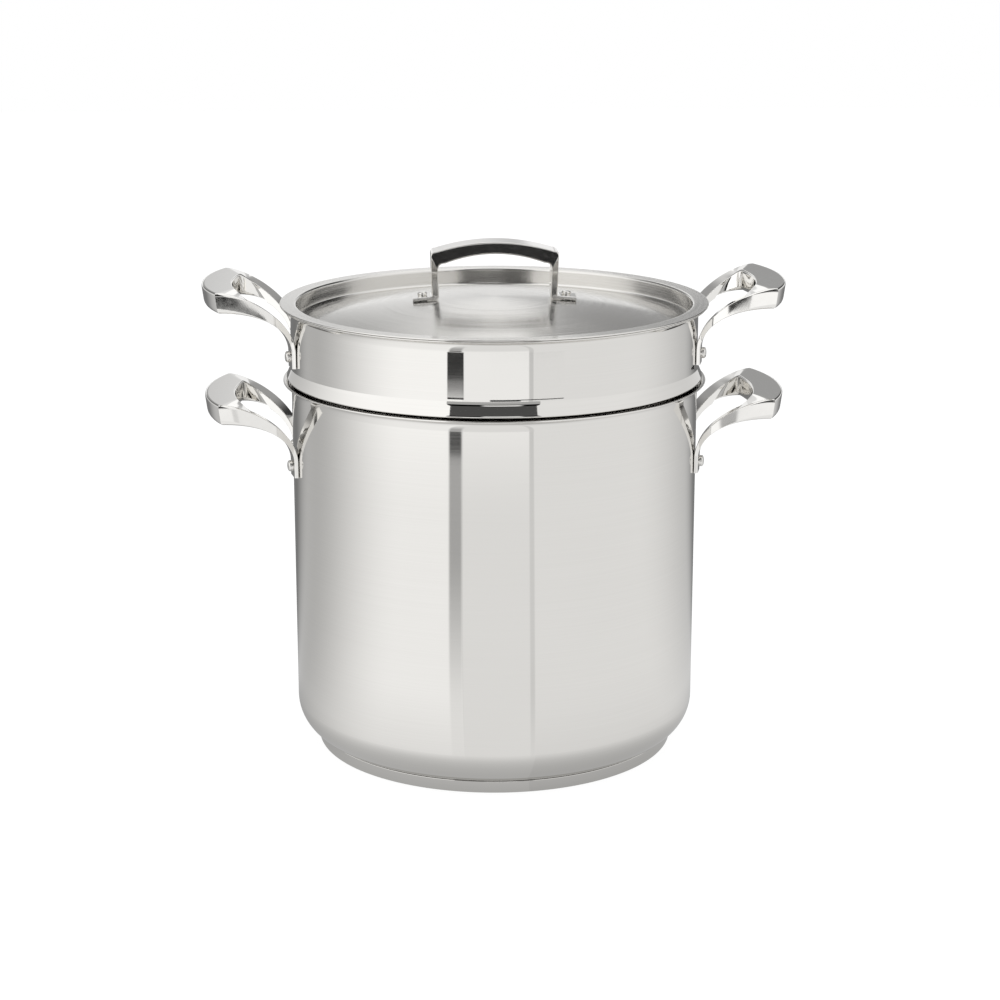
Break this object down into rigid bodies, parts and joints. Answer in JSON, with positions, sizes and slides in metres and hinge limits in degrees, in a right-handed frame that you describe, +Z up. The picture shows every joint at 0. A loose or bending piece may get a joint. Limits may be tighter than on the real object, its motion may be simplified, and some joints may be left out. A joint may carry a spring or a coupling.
{
  "type": "pasta pot",
  "caption": "Tall stainless cooking pot with an encapsulated base, riveted cast loop handles, a perforated lift-out strainer insert and a domed lid with a strap handle.",
  "frame": {"origin": "middle of the base, on the surface that the pot stands on", "axes": "+Z up along the pot's axis, +X towards the right-hand handles, +Y towards the back"},
  "size_m": [0.345, 0.2542, 0.3058],
  "materials": {
    "brushed_steel": "satin, brushed round the pot",
    "basket_steel": "plain mill finish, perforated",
    "polished_steel": "cast and polished",
    "rivet_steel": "bright, lightly worn",
    "bare_aluminium": "bare, hidden"
  },
  "bodies": {
    "pot": {"pot_body": "brushed_steel", "base_core": "bare_aluminium", "base_cap": "brushed_steel", "pot_handle_left": "polished_steel", "pot_handle_right": "polished_steel", "pot_rivet_left_front": "rivet_steel", "pot_rivet_left_back": "rivet_steel", "pot_rivet_right_front": "rivet_steel", "pot_rivet_right_back": "rivet_steel"},
    "insert": {"insert_collar": "brushed_steel", "insert_basket": "basket_steel", "insert_handle_left": "polished_steel", "insert_handle_right": "polished_steel", "insert_rivet_left_front": "rivet_steel", "insert_rivet_left_back": "rivet_steel", "insert_rivet_right_front": "rivet_steel", "insert_rivet_right_back": "rivet_steel"},
    "lid": {"lid_shell": "brushed_steel", "lid_handle": "polished_steel", "lid_rivet_left": "rivet_steel", "lid_rivet_right": "rivet_steel"}
  },
  "joints": [
    {"name": "insert_lift", "type": "slide", "parent": "pot", "child": "insert", "axis": [0, 0, 1], "range_m": [0, 0.26]},
    {"name": "lid_lift", "type": "slide", "parent": "insert", "child": "lid", "axis": [0, 0, 1], "range_m": [0, 0.12]}
  ]
}
